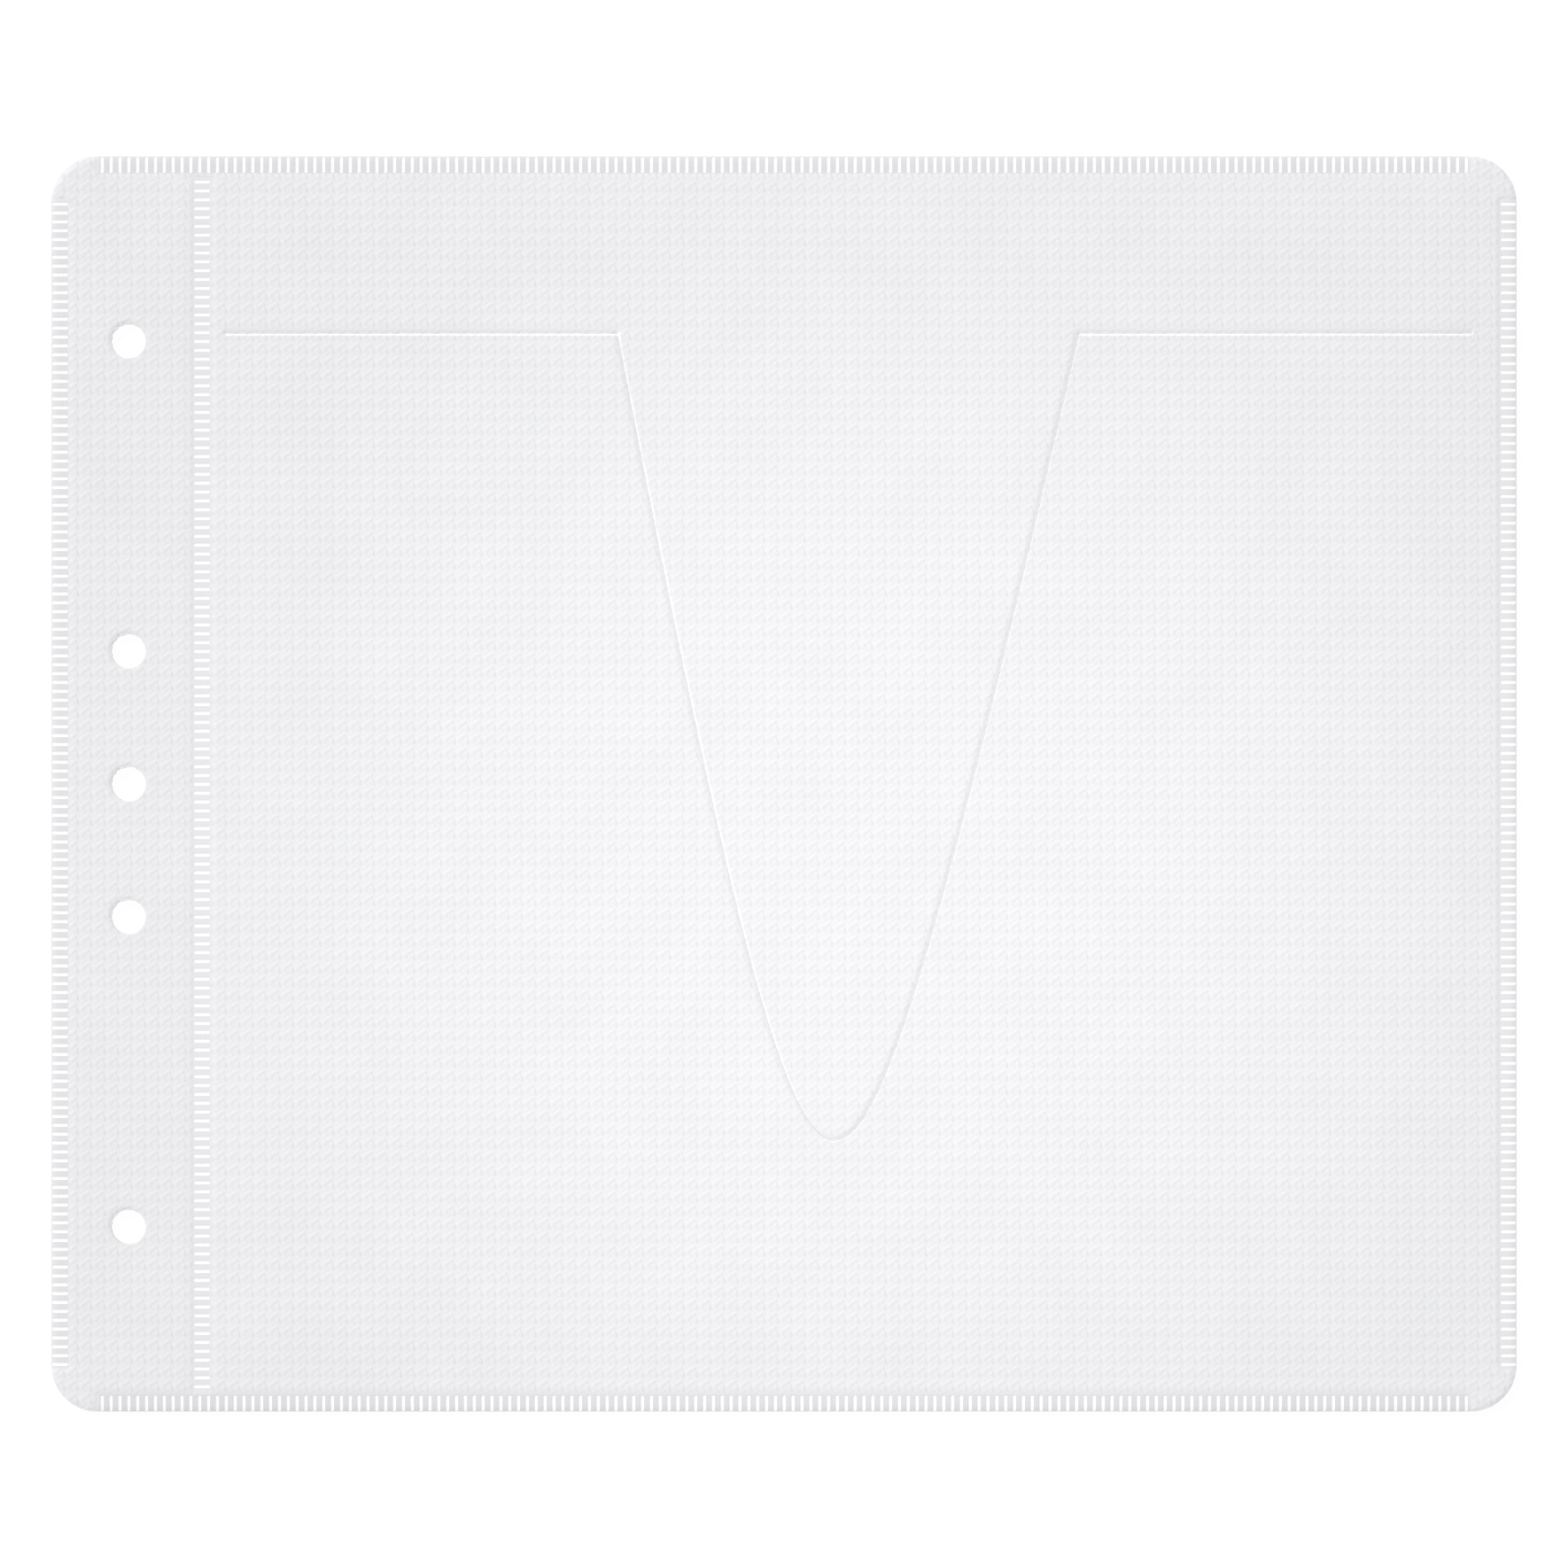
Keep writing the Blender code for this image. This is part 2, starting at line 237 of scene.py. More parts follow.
class DiscSleeveSizes(bpy.types.PropertyGroup):
    """Sizes of the page's sheets, cuts and welds"""

    film: length("Film", "Thickness of each film", 0.15 * MM)
    fleece: length("Fleece", "Thickness of the fleece", 0.25 * MM)
    fleece_unevenness: length("Fleece unevenness", "How far its face rises and falls", 0.02 * MM)
    corner_radius: length("Corner radius", "Radius of the page's corners", 5.2 * MM)
    slit_left: length("Slit, left end", "Where the slit starts, along X", -62.9 * MM)
    slit_right: length("Slit, right end", "Where the slit ends, along X", 77.6 * MM)
    tongue_length: length("Tongue length", "From the slit to the tongue's tip", 91.1 * MM)
    tongue_left: length("Tongue, left half", "From the tip's line to the left shoulder", 24.5 * MM)
    tongue_left_tip: length("Left tip radius", "Radius of the tip on its left", 1.9 * MM)
    tongue_right: length(
        "Tongue, right half", "From the tip's line to the right shoulder", 27.65 * MM
    )
    tongue_right_tip: length("Right tip radius", "Radius of the tip on its right", 2.07 * MM)
    tongue_bend: length("Tongue bend", "How far below the slit a lifted tongue bends", 2.0 * MM)
    cut_gap: length("Cut gap", "Width of the die's cut", 0.015 * MM)
    # Beside a cut the film is pressed down, and shade is painted on it over the same width, most on
    # the cut's upper left side
    cut_roll: length("Cut roll", "How far the film is pressed down beside a cut", 0.16 * MM)
    cut_roll_width: length("Cut roll width", "Width of the film that is pressed down", 0.75 * MM)
    # The same spread holds for the painted shade beside cuts, holes and welds
    burr_spread: share(
        "Burr spread", "How far round from a cut's upper left side the film is pressed down", 0.7
    )
    # Widths of the painted highlight beside the slit and the tongue's cut, on their lower right
    # sides, which face the key light
    slit_highlight: length(
        "Slit white", "Width of the film that is stressed white below the slit", 0.22 * MM
    )
    tongue_highlight: length(
        "Tongue white", "Width of the film that is stressed white beside its cut", 0.08 * MM
    )
    edge_roll: length("Edge roll", "How far the page's outer edge is rounded down", 0.16 * MM)
    edge_roll_width: length("Edge roll width", "Width of the rounded outer edge", 0.8 * MM)
    weld_step: length("Weld step", "How far the film beside a weld stands above it", 0.06 * MM)
    weld_step_width: length("Weld step width", "Width of the slope beside a weld", 0.6 * MM)
    # Width of painted shade on the film beside a weld, most above and to the left of its edges
    weld_shade: length("Weld shade", "Width of the film that is dulled beside a weld", 0.7 * MM)
    pocket_rise: length("Pocket rise", "How far the film swells over the pocket", 0.19 * MM)
    pocket_slope: length("Pocket slope", "Width of the swelling's slope", 8.0 * MM)
    margin_rise: length("Margin rise", "How far the film swells over the margin", 0.03 * MM)
    hole_radius: length("Hole radius", "Radius of the ring holes", 1.95 * MM)
    hole_x: length("Hole line", "Where the ring holes are, along X", -74.0 * MM)
    # Round a hole the film is pressed down and painted with shade, most on the hole's upper left side
    hole_roll: length("Hole roll", "How far the film is pressed down round a hole", 0.12 * MM)
    hole_roll_width: length(
        "Hole roll width", "Width of the film that is pressed down round a hole", 0.65 * MM
    )
    bar_pitch: length("Bar pitch", "From one weld bar to the next", 1.0 * MM)
    bar_width: length("Bar width", "Width of a weld bar's floor", 0.27 * MM)
    bar_wall: length("Bar wall", "Width of a weld bar's sloping wall", 0.07 * MM)
    bar_depth: length("Bar depth", "How deep a weld bar is pressed", 0.06 * MM)
    bar_outer_gap: length("Bar outer gap", "From the page's right edge to its bars", 0.09 * MM)
    bar_inner_gap: length("Bar inner gap", "From the bars to the weld's other edges", 0.03 * MM)


class DiscSleeveFinishes(bpy.types.PropertyGroup):
    """Colours and surface detail of the page's materials"""

    film: tint("Film", "Colour of the film over its fleece", (0.815, 0.815, 0.832))
    # Colour of the painted highlight beside the cuts
    painted_highlight: tint("Whitened film", "Colour of stressed film beside a cut", (1.0, 1.0, 1.0))
    # Colour of the painted shade on film pressed down beside cuts and holes, and beside welds
    pressed: tint("Pressed film", "Colour of film pressed down at a cut", (0.755, 0.755, 0.77))
    # Weld lands: painted shade between the bars, a darker copy on welds along X and a lighter, lit
    # copy on welds along Y
    land: tint("Weld land", "Colour of a weld along X between its bars", (0.69, 0.69, 0.705))
    painted_lit_land: tint(
        "Pale weld land", "Colour of a weld along Y between its bars", (0.77, 0.77, 0.785)
    )
    bar: tint("Weld bar", "Colour of a fused bar", (1.0, 1.0, 1.0))
    fleece: tint("Fleece", "Colour of the fleece", (0.86, 0.86, 0.87))
    film_roughness: share("Film roughness", "How matt the film is", 0.48)
    film_gloss: share("Film gloss", "How strongly the film reflects", 0.2)
    bar_roughness: share("Bar roughness", "How matt a fused bar is", 0.32)
    dot_pitch: length("Dot pitch", "From one embossed dot to the next", 1.52 * MM)
    dot_height: length("Dot height", "How far the embossed dots stand up", 0.058 * MM)


class DiscSleeveStage(bpy.types.PropertyGroup):
    """Camera and studio light"""

    lens: bpy.props.FloatProperty(
        name="Lens", description="Focal length in millimetres", default=200, min=1
    )
    view_width: length("View width", "Width that the picture takes in", 177.0 * MM)
    key_light: level("Key light", "Strength of the soft light from the upper left", 1.7)
    fill_light: level("Fill light", "Strength of the soft light on the page's back", 0.9)
    glow_light: level("Glow light", "Power of the light on the page's middle, in watts", 1.75)
    ambient: level("Ambient", "Strength of the light from all round", 0.66)


CLASSES = [DiscSleeveSizes, DiscSleeveFinishes, DiscSleeveStage]


def listed(cls):
    """Keeps a class for register()."""
    CLASSES.append(cls)
    return cls


# Plane geometry, in millimetres


def smooth(t):
    t = np.clip(t, 0.0, 1.0)
    return t * t * (3 - 2 * t)


def divided(points, spacing):
    """An open line with each stretch cut into equal steps no longer than the spacing."""
    points = np.asarray(points, float)
    out = [points[:1]]
    for a, b in zip(points, points[1:]):
        steps = max(1, math.ceil(np.hypot(*(b - a)) / spacing))
        out.append(a + (b - a) * np.linspace(0, 1, steps + 1)[1:, None])
    return np.concatenate(out)


def graded(points, first, last, over):
    """Points along a dense line, with steps that grow from first to last over a distance."""
    run = np.concatenate([[0], np.cumsum(np.hypot(*np.diff(points, axis=0).T))])
    stops = [0.0]
    while stops[-1] < run[-1]:
        stops.append(stops[-1] + first + (last - first) * min(1.0, stops[-1] / over))
    stops = np.array(stops) * (run[-1] / stops[-1])
    return np.stack([np.interp(stops, run, part) for part in points.T], axis=1)


def arc(centre, radius, start, end, steps):
    angles = np.radians(np.linspace(start, end, steps + 1))
    x, y = centre[0] + radius * np.cos(angles), centre[1] + radius * np.sin(angles)
    return np.stack([x, y], axis=1)


def normals(line):
    """Unit normals of an open line, to the left of its direction."""
    along = np.gradient(line, axis=0)
    along /= np.hypot(along[:, 0], along[:, 1])[:, None]
    return np.stack([-along[:, 1], along[:, 0]], axis=1)


def gaps(points, lines):
    """Vector to each point from the nearest place on any of the open lines."""
    best = np.full((len(points), 2), np.inf)
    for line in lines:
        for a, b in zip(line, line[1:]):
            along = b - a
            t = np.clip(((points - a) @ along) / (along @ along), 0, 1)
            gap = points - a - t[:, None] * along
            nearer = np.einsum("ij,ij->i", gap, gap) < np.einsum("ij,ij->i", best, best)
            best[nearer] = gap[nearer]
    return best


def distance(points, lines):
    """Least distance from each point to any of the open lines."""
    return np.hypot(*gaps(points, lines).T)


def box_distance(points, box):
    """Distance from each point to a box (x0, y0, x1, y1), zero inside it."""
    low, high = np.array(box[:2]), np.array(box[2:])
    out = np.maximum(np.maximum(low - points, points - high), 0)
    return np.hypot(out[:, 0], out[:, 1])


def box_loop(x0, y0, x1, y1):
    """A box's corners in order, back to the first one."""
    return np.array([(x0, y0), (x1, y0), (x1, y1), (x0, y1), (x0, y0)])


def inside(points, loops):
    """Whether each point lies in the area between closed loops, by counting crossings."""
    odd = np.zeros(len(points), bool)
    for loop in loops:
        for a, b in zip(loop, np.roll(loop, -1, axis=0)):
            if a[1] == b[1]:
                continue
            spans = (a[1] > points[:, 1]) != (b[1] > points[:, 1])
            cross = a[0] + (points[:, 1] - a[1]) * (b[0] - a[0]) / (b[1] - a[1])
            odd ^= spans & (points[:, 0] < cross)
    return odd


def closed(loop):
    return np.concatenate([loop, loop[:1]])


def beside(line, rows, sides):
    """Points in rows along a line, to its left (1) or right (-1), one for each of its points."""
    across = normals(line)
    return np.concatenate([line + side * row * across for side in sides for row in rows])


def grid(xs, ys):
    return np.stack(np.meshgrid(xs, ys), axis=-1).reshape(-1, 2)


def lattice(low, high, pitch):
    """A triangular lattice of points over a box."""
    ys = np.arange(low[1], high[1], pitch * math.sqrt(3) / 2)
    xs = np.arange(low[0], high[0], pitch)
    return np.concatenate([grid(xs + pitch / 2 * (i % 2), [y]) for i, y in enumerate(ys)])


def film_wave(points):
    """The film's slight waves along X and Y."""
    wave = 0.0
    for (a, b), (height, reach, swing, cross) in zip((points.T, points.T[::-1]), FILM_WAVES):
        wave = wave + height * np.sin(a / reach + swing * np.sin(b / cross))
    return wave


def fleece_wave(points):
    """The fleece's unevenness, from -1 to 1, as crossed waves."""
    wave = 1.0
    for (a, b), (rate, swing, cross) in zip((points.T, points.T[::-1]), FLEECE_WAVES):
        wave = wave * np.sin(a * rate + swing * np.sin(b * cross))
    return wave


class Page:
    """The page's outlines, cuts and heights in millimetres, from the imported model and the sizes."""

    def __init__(self, sizes):
        for key in DiscSleeveSizes.__annotations__:
            setattr(self, key, getattr(sizes, key) / MM)
        self.burr_spread = sizes.burr_spread  # a share, so it has no unit
        low, high = (np.array(corner) / MM for corner in CAD_BOX)
        self.half = (high - low)[:2] / 2
        self.middle = high[2] / 2
        self.land = TOP_WELD_BOX[1].z / MM
        self.slit_y = TONGUE_AXIS[1] / MM
        self.tip_x = TONGUE_AXIS[0] / MM
        self.weld_x = (MARGIN_WELD_BOX[0].x / MM, MARGIN_WELD_BOX[1].x / MM)
        self.weld_end = MARGIN_WELD_BOX[1].y / MM
        self.inner_y = TOP_WELD_BOX[0].y / MM
        self.inner_x = SIDE_WELD_BOX[0].x / MM
        self.top_end = TOP_WELD_BOX[1].x / MM
        self.side_end = SIDE_WELD_BOX[1].y / MM
        self.fold_end = 2 * FOLD_AXIS[0] / MM - self.weld_x[0]
        self.split_x = TOP_WELD_BOX[0].x / MM
        self.short_start = SHORT_WELD_BOX[0].x / MM
        self.make_cuts()

    def make_cuts(self):
        """The middle lines of the slit's two halves and of the tongue's outline, and the holes."""
        left = self.tongue_side(self.tongue_left, self.tongue_left_tip) * (-1, 1)
        right = self.tongue_side(self.tongue_right, self.tongue_right_tip)
        tip = np.array([self.tip_x, self.slit_y - self.tongue_length])
        self.tongue_line = np.concatenate([left[:0:-1], right]) + tip
        self.shoulders = self.tongue_line[0], self.tongue_line[-1]
        self.slits = [
            divided([(self.slit_left, self.slit_y), self.shoulders[0]], ROW_STEP),
            divided([self.shoulders[1], (self.slit_right, self.slit_y)], ROW_STEP),
        ]
        self.cuts = [self.slits[0], self.tongue_line, self.slits[1]]
        self.holes = [
            arc((self.hole_x, y), self.hole_radius, 0, 360, HOLE_STEPS)[:-1] for y in RING_HOLES_Y
        ]

    def tongue_side(self, width, radius):
        """Half of the tongue, a conic from its tip at the origin to its shoulder."""
        t = np.linspace(0, 1, CURVE_SAMPLES)
        round_part = 2 * radius * self.tongue_length
        x = t * np.sqrt(round_part + (width**2 - round_part) * t * t)
        curve = np.stack([x, self.tongue_length * t * t], axis=1)
        return graded(curve, TIP_STEP, ROW_STEP, TIP_REACH)

    def corner(self, side_x, side_y):
        """The round corner from the end of a top or bottom weld to the end of a side weld."""
        centre = self.half - self.corner_radius
        stop = math.degrees(math.asin((self.side_end - centre[1]) / self.corner_radius))
        bend = arc(centre, self.corner_radius, 90, stop, CORNER_STEPS)
        start, end = (self.top_end, self.inner_y), (self.inner_x, self.side_end)
        return np.concatenate([[start], bend, [end]]) * (side_x, side_y)

    def pocket_loop(self):
        (x0, x1), y0, y1 = self.weld_x, self.inner_y, self.weld_end
        turns = [
            [(x0, -y1), (x0, -y0)],
            self.corner(1, -1),
            self.corner(1, 1)[::-1],
            [(x0, y0), (x0, y1), (x1, y1), (x1, -y1), (x0, -y1)],
        ]
        return divided(np.concatenate(turns), ROW_STEP)[:-1]

    def margin_loop(self):
        x0, y0 = self.weld_x[0], self.inner_y
        turns = [
            [(x0, -y0), (x0, y0)],
            self.corner(-1, 1),
            self.corner(-1, -1)[::-1],
            [(x0, -y0)],
        ]
        return divided(np.concatenate(turns), ROW_STEP)[:-1]

    def moved_tongue_line(self, by):
        """The tongue's outline moved outwards, with its ends level with the slit's nearer edge."""
        line = self.tongue_line - by * normals(self.tongue_line)
        line[[0, -1], 1] = self.slit_y - max(by, 0)
        return line

    def mouth_loop(self):
        """The slit and the tongue's space, as one opening in a pocket film."""
        half = self.cut_gap / 2
        left, right = self.slits
        up, down = np.array([0, half]), np.array([0, -half])
        hinge = divided(self.shoulders, ROW_STEP)
        side = self.moved_tongue_line(half)[::-1]
        upper = [left + up, hinge, right + up]
        lower = [(right + down)[::-1], side[:-1], (left + down)[::-1]]
        return np.concatenate(upper + lower)

    def tongue_loop(self):
        side = self.moved_tongue_line(-self.cut_gap / 2)
        return np.concatenate([divided([side[-1], side[0]], ROW_STEP)[:-1], side[:-1]])

    def cut_points(self):
        """Rows of points along the cuts and round the slit's ends."""
        rows = np.array(CUT_ROWS) + self.cut_gap / 2
        ends = [self.slits[0][0], self.slits[1][-1], *self.shoulders]
        stop, steps = 360 - RING_DEGREES, 360 // RING_DEGREES - 1
        rings = [arc(end, row, 0, stop, steps) for end in ends for row in rows]
        rings += [self.shoulder_mitres(side, rows) for side in (0, 1)]
        return np.concatenate([beside(line, rows, (1, -1)) for line in self.cuts] + rings)

    def shoulder_mitres(self, side, rows):
        """Points where the rows along the slit and along the tongue meet below a shoulder."""
        corner = self.shoulders[side]
        slit = np.array([2 * side - 1.0, 0.0])
        tongue = self.tongue_line[-2 if side else 1] - corner
        bisector = slit + tongue / np.hypot(*tongue)
        bisector /= np.hypot(*bisector)
        half = math.acos(slit @ bisector)
        return corner + np.outer(rows / math.sin(half), bisector)

    def bend_points(self):
        """Rows of points where a lifted tongue bends."""
        left, right = self.shoulders[0][0], self.shoulders[1][0]
        xs = np.arange(left + BEND_INSET, right - BEND_INSET, BEND_COLUMN)
        return grid(xs, self.slit_y - np.arange(BEND_ROW, self.tongue_bend + BEND_PAST, BEND_ROW))

    def fold_points(self):
        """Rows of points where the binding margin folds."""
        xs = np.linspace(self.weld_x[0], self.fold_end, FOLD_ROWS + 1)[1:]
        start, stop = -self.inner_y + FOLD_INSET, self.inner_y - FOLD_INSET / 2
        return grid(xs, np.arange(start, stop, BEND_COLUMN))

    def welds(self):
        """Boxes of the five welds."""
        x, y = self.half
        return (
            (-self.top_end, self.inner_y, self.top_end, y),
            (-self.top_end, -y, self.top_end, -self.inner_y),
            (self.inner_x, -self.side_end, x, self.side_end),
            (-x, -self.side_end, -self.inner_x, self.side_end),
            (self.weld_x[0], -self.weld_end, self.weld_x[1], self.weld_end),
        )

    def edge_distance(self, points):
        """Distance from each point in to the page's outer edge."""
        q = np.abs(points) - (self.half - self.corner_radius)
        out = np.hypot(*np.maximum(q, 0).T) + np.minimum(q.max(axis=1), 0)
        return self.corner_radius - out

    def edge_drop(self, points):
        t = np.clip(1 - self.edge_distance(points) / self.edge_roll_width, 0, 1)
        return self.edge_roll * t * t

    def swelling(self, points, x0, x1, slope):
        """A smooth swelling, from 0 at the welds' inner edges to 1 a slope's width inside them."""
        x, y = points.T
        across = smooth((x - x0) / slope) * smooth((x1 - x) / slope)
        return across * smooth((self.inner_y - np.abs(y)) / slope)

    def heights(self, points):
        """Height of the front film's outer face over the page's base, and, from 0 to 1, how far a
        highlight is painted beside its cuts and how far the film is pressed down and painted with
        shade beside its cuts, holes and welds."""
        beside_weld = np.min([box_distance(points, box) for box in self.welds()], axis=0)
        pocket = self.swelling(points, self.weld_x[1], self.inner_x, self.pocket_slope)
        margin = self.swelling(points, -self.inner_x, self.weld_x[0], self.pocket_slope / 2)
        wave = film_wave(points)
        swell = pocket * (self.pocket_rise + wave)
        swell = swell + margin * (self.margin_rise + MARGIN_WAVE * wave)
        z = self.land + self.weld_step * smooth(beside_weld / self.weld_step_width)
        z += swell - self.edge_drop(points)
        sunk, pressed, white = np.zeros((3, len(points)))
        for line, depth, width, painted_highlight in self.pressings():
            gap = gaps(points, [line])
            reach = np.hypot(*gap.T)
            across = (gap[:, 1] - gap[:, 0]) / (math.sqrt(2) * np.maximum(reach, TINY))
            reach = np.maximum(reach - self.cut_gap / 2, 0)
            # burr: share on the line's upper left side, where the film is pressed down and shade is
            # painted
            burr = np.maximum(across + self.burr_spread, 0) / (1 + self.burr_spread)
            here = burr * np.clip(1 - reach / width, 0, 1) ** 2
            pressed, sunk = np.maximum(pressed, here), np.maximum(sunk, depth * here)
            # A painted highlight on the line's lower right side, which faces the key light
            if painted_highlight:
                lower_right = np.clip(-HIGHLIGHT_GROWTH * across - HIGHLIGHT_START, 0, 1)
                fade = smooth((reach - painted_highlight + HIGHLIGHT_FADE / 2) / HIGHLIGHT_FADE)
                white = np.maximum(white, lower_right * (1 - fade))
        return z - sunk, white, pressed

    def pressings(self):
        """The lines that the film is pressed along and painted with shade, most on their upper left
        sides: how deep, how wide, and how wide a highlight is painted on their lower right sides."""
        rolled = self.cut_roll, self.cut_roll_width
        return (
            *((line, *rolled, self.slit_highlight) for line in self.slits),
            (self.tongue_line, *rolled, self.tongue_highlight),
            *((closed(hole), self.hole_roll, self.hole_roll_width, 0.0) for hole in self.holes),
            # Beside the welds the film isn't pressed down; only shade is painted there
            *((box_loop(*box), 0.0, self.weld_shade, 0.0) for box in self.welds()),
        )

    def film_points(self, loops, cut_rows):
        """Points for a film: rows along its outline and its cuts or holes, a lattice between."""
        outline = closed(loops[0])
        edge = beside(outline, EDGE_ROWS, (1, -1))
        wanted = np.tile(np.repeat(EDGE_ROWS, len(outline)), 2)
        edge = edge[np.abs(distance(edge, [outline]) - wanted) < EDGE_SLACK]
        if cut_rows:
            cut = self.cut_points()
            gap = distance(cut, self.cuts)
            off_row = np.abs(gap[:, None] - np.array(CUT_ROWS) - self.cut_gap / 2).min(axis=1)
            cut = cut[(off_row < CUT_SLACK) & (gap > self.cut_gap)]
            cut = cut[distance(cut, [outline]) > OUTLINE_CLEAR]
            edge = edge[distance(edge, self.cuts) > CUT_ROWS[-1] + CUT_CLEAR]
        else:
            cut = np.concatenate([beside(closed(hole), CUT_ROWS[1:], (-1,)) for hole in loops[1:]])
        body = lattice(outline.min(axis=0), outline.max(axis=0), FILM_CELL)
        away = [outline, *self.cuts, *(closed(hole) for hole in self.holes)]
        body = body[distance(body, away) > LATTICE_CLEAR]
        points = np.concatenate([edge, cut, body])
        return points[inside(points, loops)]


# Meshes


def link(obj):
    bpy.context.scene.collection.objects.link(obj)
    return obj


def mesh_of(name, points, faces, material):
    """A smooth mesh from points in millimetres."""
    mesh = bpy.data.meshes.new(name)
    mesh.from_pydata(points * MM, [], faces.tolist())
    mesh.polygons.foreach_set("use_smooth", np.ones(len(faces), bool))
    mesh.materials.append(material)
    return mesh


def rest_map(mesh, half):
    """Stores each corner's place on the flat page, from 0 to 1 across it, so that detail stays on
    the sheet as it bends."""
    points = np.empty(len(mesh.vertices) * 3, np.float32)
    mesh.vertices.foreach_get("co", points)
    corners = np.empty(len(mesh.loops), np.int32)
    mesh.loops.foreach_get("vertex_index", corners)
    flat = points.reshape(-1, 3)[:, :2] / (2 * MM * half) + 0.5
    uv = mesh.uv_layers.new(name=REST_MAP).uv
    uv.foreach_set("vector", flat[corners].astype(np.float32).ravel())


def store(mesh, name, values):
    attribute = mesh.attributes.new(name, "FLOAT", "POINT")
    attribute.data.foreach_set("value", np.asarray(values, np.float32))


def triangulated(loops, extra):
    """Triangles that fill the area between closed loops and use the extra points."""
    points = [Vector(p) for loop in loops for p in loop] + [Vector(p) for p in extra]
    edges, start = [], 0
    for loop in loops:
        edges += [(start + i, start + (i + 1) % len(loop)) for i in range(len(loop))]
        start += len(loop)
    made = delaunay_2d_cdt(points, edges, [], 0, MERGED)
    flat = np.array([tuple(p) for p in made[0]])
    faces = np.array([face for face in made[2] if len(face) == 3])
    faces = faces[inside(flat[faces].mean(axis=1), loops)]
    a, b, c = flat[faces].transpose(1, 0, 2)
    (ux, uy), (vx, vy) = (b - a).T, (c - a).T
    clockwise = ux * vy - uy * vx < 0
    faces[clockwise] = faces[clockwise][:, ::-1]
    used, faces = np.unique(faces, return_inverse=True)
    return flat[used], faces.reshape(-1, 3)


def sheet_object(name, page, flat, faces, z, side, thickness, material):
    """A sheet of even thickness under its outer face, turned over for the back of the page."""
    if side == BACK:
        z = 2 * page.middle - z
        faces = faces[:, ::-1]
    mesh = mesh_of(name, np.column_stack([flat, z]), faces, material)
    rest_map(mesh, page.half)
    uses = np.sort(np.concatenate([faces[:, [0, 1]], faces[:, [1, 2]], faces[:, [2, 0]]]), axis=1)
    pairs, counts = np.unique(uses, axis=0, return_counts=True)
    rim = {tuple(pair) for pair in pairs[counts == 1]}
    for edge in mesh.edges:
        edge.use_edge_sharp = tuple(sorted(edge.vertices)) in rim
    obj = link(bpy.data.objects.new(name, mesh))
    shell = obj.modifiers.new("thickness", "SOLIDIFY")
    shell.thickness = thickness * MM
    shell.offset = -1
    return obj


def film_object(name, page, loops, extra, side, material):
    flat, faces = triangulated(loops, extra)
    z, white, pressed = page.heights(flat)
    obj = sheet_object(name, page, flat, faces, z, side, page.film, material)
    # Masks of the painted highlight and of the pressed film with its painted shade
    store(obj.data, PAINTED_HIGHLIGHT, white)
    store(obj.data, PRESSED_SHADE, pressed)
    return obj


def fleece_object(name, page, loops, extra, material):
    """A fleece in the page's middle, whose face rises and falls a little."""
    flat, faces = triangulated(loops, extra)
    z = page.middle + page.fleece / 2 + page.fleece_unevenness * fleece_wave(flat)
    return sheet_object(name, page, flat, faces, z, FRONT, page.fleece, material)


def fleece_points(loops):
    """A lattice that keeps clear of a fleece's outline and holes."""
    body = lattice(loops[0].min(axis=0), loops[0].max(axis=0), FLEECE_CELL)
    clear = distance(body, [closed(loop) for loop in loops]) > FLEECE_CLEAR
    return body[inside(body, loops) & clear]


def bar_run(page, bars, ends):
    """Places along a weld: across each of its bars, and half way to the next."""
    tip = page.bar_width / 2 + page.bar_wall
    before = np.array([-tip - BAR_SHOULDER, -tip, -page.bar_width / 2])
    steps = np.concatenate([[-page.bar_pitch / 2], before, [0.0], -before[::-1]])
    run = np.append((bars[:, None] + steps).ravel(), bars[-1] + page.bar_pitch / 2)
    return np.unique(np.clip(run, *ends))


def strip_faces(rows, columns, turned):
    """Faces of a closed strip: a grid of points on its front, the same on its back, and a rim."""
    index = np.arange(rows * columns).reshape(rows, columns)
    corners = [index[:-1, :-1], index[1:, :-1], index[1:, 1:], index[:-1, 1:]]
    front = np.stack(corners, axis=-1).reshape(-1, 4)
    rim = np.concatenate([index[:, 0], index[-1, 1:], index[-2::-1, -1], index[0, -2:0:-1]])
    if turned:
        front, rim = front[:, ::-1], rim[::-1]
    under, after = index.size, np.roll(rim, -1)
    walls = np.stack([rim, rim + under, after + under, after], axis=-1)
    return np.concatenate([front, front[:, ::-1] + under, walls])


